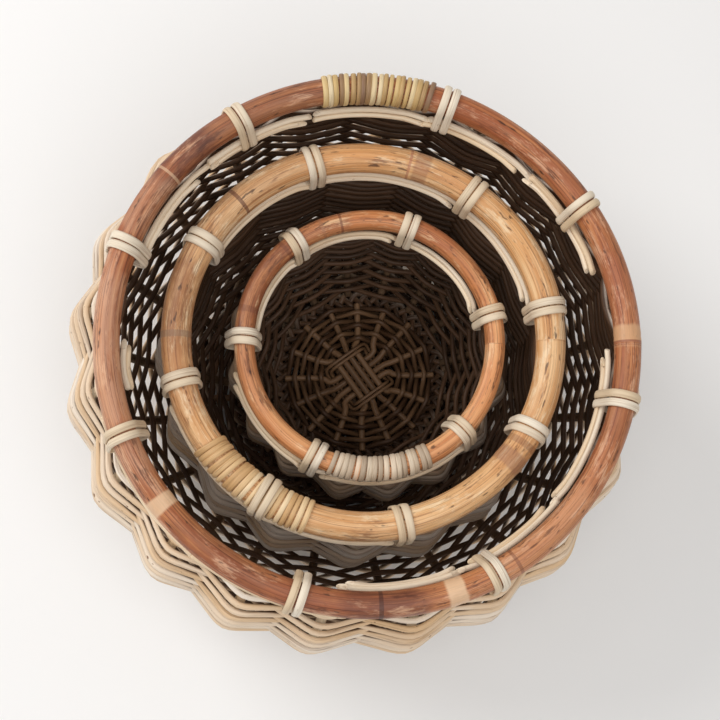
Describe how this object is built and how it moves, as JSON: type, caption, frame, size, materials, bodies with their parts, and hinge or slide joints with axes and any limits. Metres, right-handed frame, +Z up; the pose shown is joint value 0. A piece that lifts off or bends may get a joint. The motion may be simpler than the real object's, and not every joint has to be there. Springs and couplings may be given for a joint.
{
  "type": "nesting rattan basket set",
  "caption": "Nest of round bellied rattan baskets with woven walls, bound cane hoop rims and crossed-stick bases; each inner basket lifts out.",
  "frame": {"origin": "centre of the large basket's foot, on the surface that it stands on", "axes": "+Z up along the large basket's axis, out of its mouth; +X and +Y in the plane of the floor, with the large rim's whipping round from +X at 76 to 101 degrees"},
  "size_m": [0.4468, 0.4464, 0.2664],
  "materials": {
    "large_hoop_cane": "stripped rattan cane, reddish brown, satin",
    "medium_hoop_cane": "stripped rattan cane, honey tan, satin",
    "small_hoop_cane": "stripped rattan cane, orange brown, satin",
    "large_whipping": "flat cane strip, olive and ivory, matt",
    "medium_whipping": "flat cane strip, straw, matt",
    "small_whipping": "flat cane strip, pale grey, matt",
    "tie_strip": "flat cane core strip, cream, matt",
    "border_rod": "round cane core, ivory, matt",
    "woven_rod": "round cane core, ivory, matt",
    "stake_rod": "round cane core, matt",
    "base_rod": "round cane core, darker, matt"
  },
  "bodies": {
    "large_basket": {"large_rim_hoop": "large_hoop_cane", "large_rim_whipping": "large_whipping", "large_rim_ties": "tie_strip", "large_border_rods_inside": "border_rod", "large_border_rods_outside": "border_rod", "large_top_wale": "woven_rod", "large_stakes": "stake_rod", "large_odd_weave_rows": "woven_rod", "large_even_weave_rows": "woven_rod", "large_foot_border": "woven_rod", "large_base_sticks_under": "base_rod", "large_base_sticks_over": "base_rod", "large_slath_binding": "base_rod", "large_base_weave": "base_rod"},
    "medium_basket": {"medium_rim_hoop": "medium_hoop_cane", "medium_rim_whipping": "medium_whipping", "medium_rim_ties": "tie_strip", "medium_border_rods_inside": "border_rod", "medium_border_rods_outside": "border_rod", "medium_top_wale": "woven_rod", "medium_stakes": "stake_rod", "medium_odd_weave_rows": "woven_rod", "medium_even_weave_rows": "woven_rod", "medium_foot_border": "woven_rod", "medium_base_sticks_under": "base_rod", "medium_base_sticks_over": "base_rod", "medium_slath_binding": "base_rod", "medium_base_weave": "base_rod"},
    "small_basket": {"small_rim_hoop": "small_hoop_cane", "small_rim_whipping": "small_whipping", "small_rim_ties": "tie_strip", "small_border_rods_inside": "border_rod", "small_border_rods_outside": "border_rod", "small_top_wale": "woven_rod", "small_stakes": "stake_rod", "small_odd_weave_rows": "woven_rod", "small_even_weave_rows": "woven_rod", "small_foot_border": "woven_rod", "small_base_sticks_under": "base_rod", "small_base_sticks_over": "base_rod", "small_slath_binding": "base_rod", "small_base_weave": "base_rod"}
  },
  "joints": [
    {"name": "medium_lift_out", "type": "slide", "parent": "large_basket", "child": "medium_basket", "axis": [0, 0, 1], "range_m": [0, 0.27]},
    {"name": "small_lift_out", "type": "slide", "parent": "medium_basket", "child": "small_basket", "axis": [0, 0, 1], "range_m": [0, 0.22]}
  ]
}
